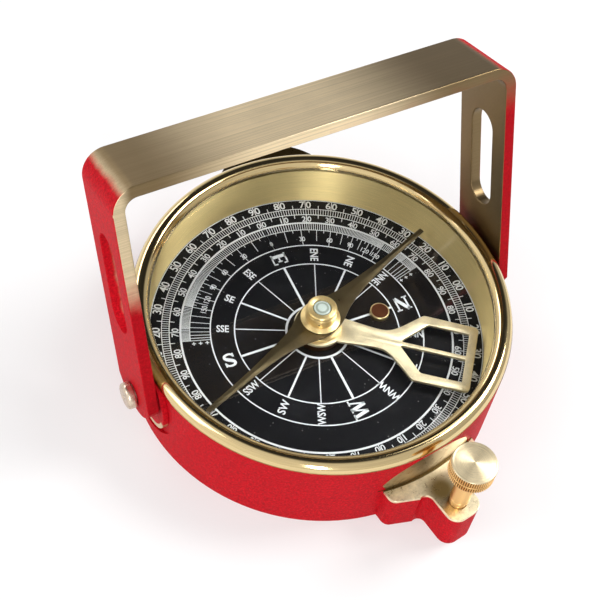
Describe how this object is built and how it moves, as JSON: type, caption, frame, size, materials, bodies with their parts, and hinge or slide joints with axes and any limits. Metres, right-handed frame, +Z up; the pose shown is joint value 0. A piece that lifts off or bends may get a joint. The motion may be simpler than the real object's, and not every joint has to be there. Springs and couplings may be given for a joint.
{
  "type": "clinometer compass",
  "caption": "Round metal compass with a folding bail, lifter screw on a front lug, magnetic needle and a free pendulum that reads slopes on the dial.",
  "frame": {"origin": "centre of the case's flat underside, below the needle pivot", "axes": "+Z up through the needle pivot, +X along the bail's hinge line, -Y towards the lug with the thumb screw"},
  "size_m": [0.0886, 0.0965, 0.0639],
  "materials": {
    "case_paint": "fine textured red paint on cast metal",
    "polished_brass": "polished, lightly toned",
    "brushed_brass": "brushed",
    "antique_brass": "darkened, brushed",
    "copper_brown": "bronzed brown, turned",
    "spring_steel": "bright",
    "dial_black": "satin black with white graduations",
    "clear_glass": "clear",
    "jewel": "polished",
    "lens": "polished"
  },
  "bodies": {
    "case": {"case_body": "case_paint", "bezel": "polished_brass", "glass": "clear_glass", "glass_ring": "polished_brass", "spacer_ring": "brushed_brass", "dial_plate": "dial_black", "dial_screw": "copper_brown", "lever_spring": "spring_steel", "centre_boss": "copper_brown", "pivot_pin": "spring_steel", "pendulum_collar": "brushed_brass", "fulcrum_pin": "spring_steel", "bail_screws": "polished_brass", "bail_spacers": "polished_brass"},
    "bail": {"bail": "antique_brass"},
    "screw_foot": {"screw_pad": "brushed_brass"},
    "screw": {"thumb_screw": "polished_brass"},
    "lever": {"lifter_lever": "brushed_brass"},
    "sleeve": {"lifter_sleeve": "brushed_brass"},
    "needle": {"needle_blade": "antique_brass", "needle_cap": "polished_brass", "cap_jewel": "jewel", "cap_lens": "lens"},
    "pendulum": {"pendulum": "brushed_brass"}
  },
  "joints": [
    {"name": "bail_fold", "type": "hinge", "parent": "case", "child": "bail", "pos_m": [0, 0, 0.0125], "axis": [1, 0, 0], "range_deg": [-70, 82]},
    {"name": "screw_feed", "type": "slide", "parent": "case", "child": "screw_foot", "axis": [0, 0, 1], "range_m": [-0.0006, 0]},
    {"name": "screw_turn", "type": "hinge", "parent": "screw_foot", "child": "screw", "pos_m": [0.00643, -0.04696, 0.0115], "axis": [0, 0, 1], "range_deg": [-360, 0]},
    {"name": "lever_tilt", "type": "hinge", "parent": "case", "child": "lever", "pos_m": [0.00394, -0.02873, 0.0043], "axis": [0.9907, 0.1357, 0], "range_deg": [0, 1.99], "deforming": ["lever_spring"]},
    {"name": "sleeve_lift", "type": "slide", "parent": "case", "child": "sleeve", "axis": [0, 0, 1], "range_m": [0, 0.00096]},
    {"name": "needle_spin", "type": "hinge", "parent": "sleeve", "child": "needle", "pos_m": [0, 0, 0.0138], "axis": [0, 0, 1], "continuous": true},
    {"name": "pendulum_swing", "type": "hinge", "parent": "case", "child": "pendulum", "pos_m": [0, 0, 0.011], "axis": [0, 0, 1], "continuous": true}
  ],
  "couplings": [
    {"joint": "screw_turn", "follows": "screw_feed", "rad_per_m": 10472},
    {"joint": "lever_tilt", "follows": "screw_feed", "rad_per_m": -57.6},
    {"joint": "sleeve_lift", "follows": "screw_feed", "ratio": -1.592}
  ]
}
